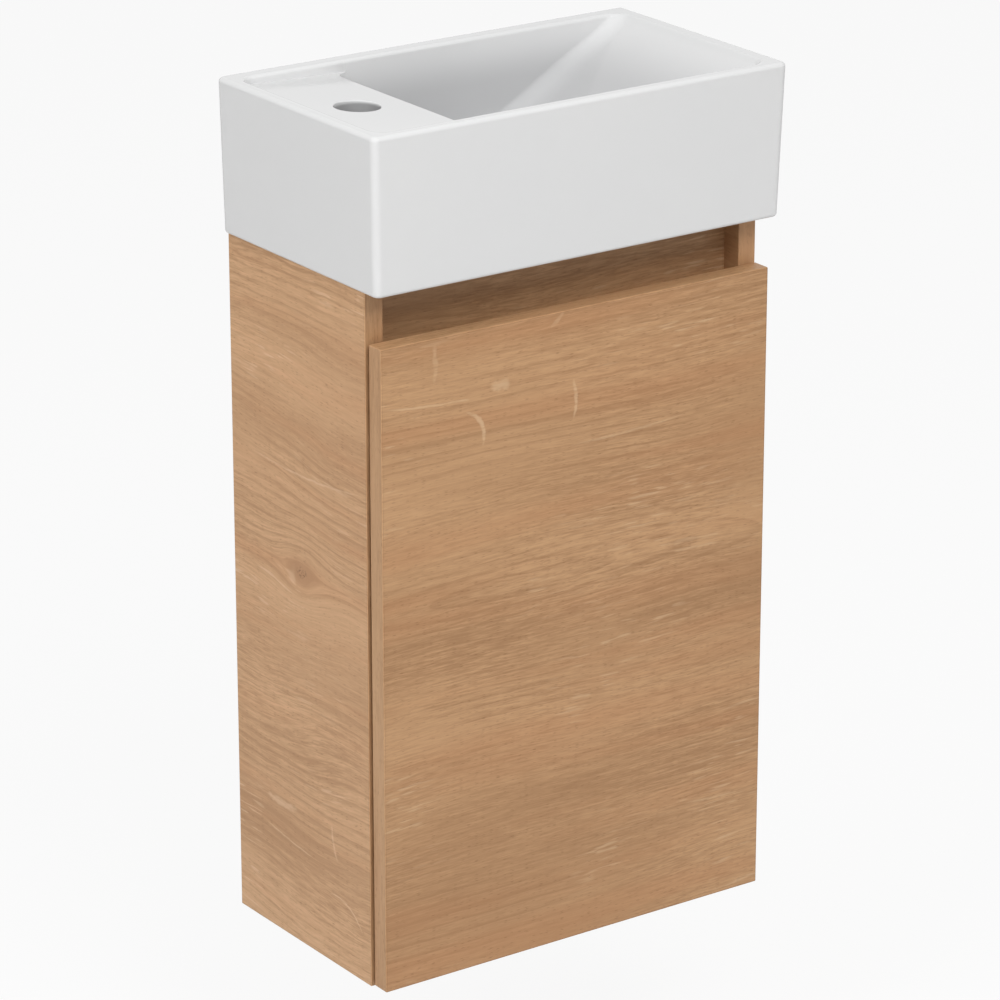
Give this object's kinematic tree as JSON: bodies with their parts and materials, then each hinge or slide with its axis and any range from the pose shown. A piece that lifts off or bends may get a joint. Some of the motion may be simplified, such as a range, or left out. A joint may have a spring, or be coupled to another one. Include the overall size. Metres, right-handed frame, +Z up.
{
  "type": "vanity unit",
  "caption": "Wall-hung cloakroom vanity unit: ceramic basin with a side tap ledge on an oak-look cabinet with a hinged door.",
  "frame": {"origin": "on the wall plane, midway between the four screw holes of the two wall plates that the cabinet hangs on", "axes": "+X to the right seen from the front, +Y back into the wall, +Z up"},
  "size_m": [0.3738, 0.2109, 0.675],
  "materials": {
    "ceramic": "glossy white glaze",
    "oak_board": "natural oak, satin",
    "beech": "raw",
    "nickel": "nickel plated",
    "zinc": "bright zinc plated",
    "pin_steel": "bright drawn",
    "clear_rubber": "soft, translucent",
    "grey_plastic": "moulded"
  },
  "bodies": {
    "cabinet": {"basin": "ceramic", "side_panel_left": "oak_board", "side_panel_right": "oak_board", "bottom_panel": "oak_board", "grip_rail": "oak_board", "rear_top_rail": "oak_board", "rear_bottom_rail": "oak_board", "shelf": "oak_board", "shelf_pins": "zinc", "cam_locks": "zinc", "cam_bolts": "zinc", "dowels": "beech", "hinge_arm_lower": "nickel", "hinge_arm_upper": "nickel", "hinge_plate_lower": "nickel", "hinge_plate_upper": "nickel", "hinge_arm_pins": "pin_steel", "hinge_springs": "pin_steel", "hinge_adjusters": "zinc", "hinge_plate_screws": "zinc", "hanger_body_left": "grey_plastic", "hanger_body_right": "grey_plastic", "hanger_hook_left": "zinc", "hanger_hook_right": "zinc", "hanger_screws": "zinc", "wall_plate_left": "zinc", "wall_plate_right": "zinc"},
    "door": {"door_panel": "oak_board", "door_buffers": "clear_rubber", "hinge_cup_lower": "nickel", "hinge_cup_upper": "nickel", "hinge_cup_pins": "pin_steel", "hinge_cup_screws": "zinc"},
    "outer_links": {"outer_link_lower": "nickel", "outer_link_upper": "nickel"},
    "inner_links": {"inner_link_lower": "nickel", "inner_link_upper": "nickel"}
  },
  "joints": [
    {"name": "outer_link_turn", "type": "hinge", "parent": "cabinet", "child": "outer_links", "pos_m": [0.1444, -0.1771, -0.23325], "axis": [0, 0, 1], "range_deg": [-31.3, 0]},
    {"name": "door_swing", "type": "hinge", "parent": "outer_links", "child": "door", "pos_m": [0.1665, -0.1907, -0.23325], "axis": [0, 0, 1], "range_deg": [0, 131.2]},
    {"name": "inner_link_turn", "type": "hinge", "parent": "cabinet", "child": "inner_links", "pos_m": [0.143, -0.1962, -0.23325], "axis": [0, 0, 1], "range_deg": [-34.3, 0]}
  ],
  "couplings": [
    {"joint": "outer_link_turn", "follows": "door_swing", "ratio": -0.2378},
    {"joint": "inner_link_turn", "follows": "door_swing", "ratio": -0.26067}
  ]
}
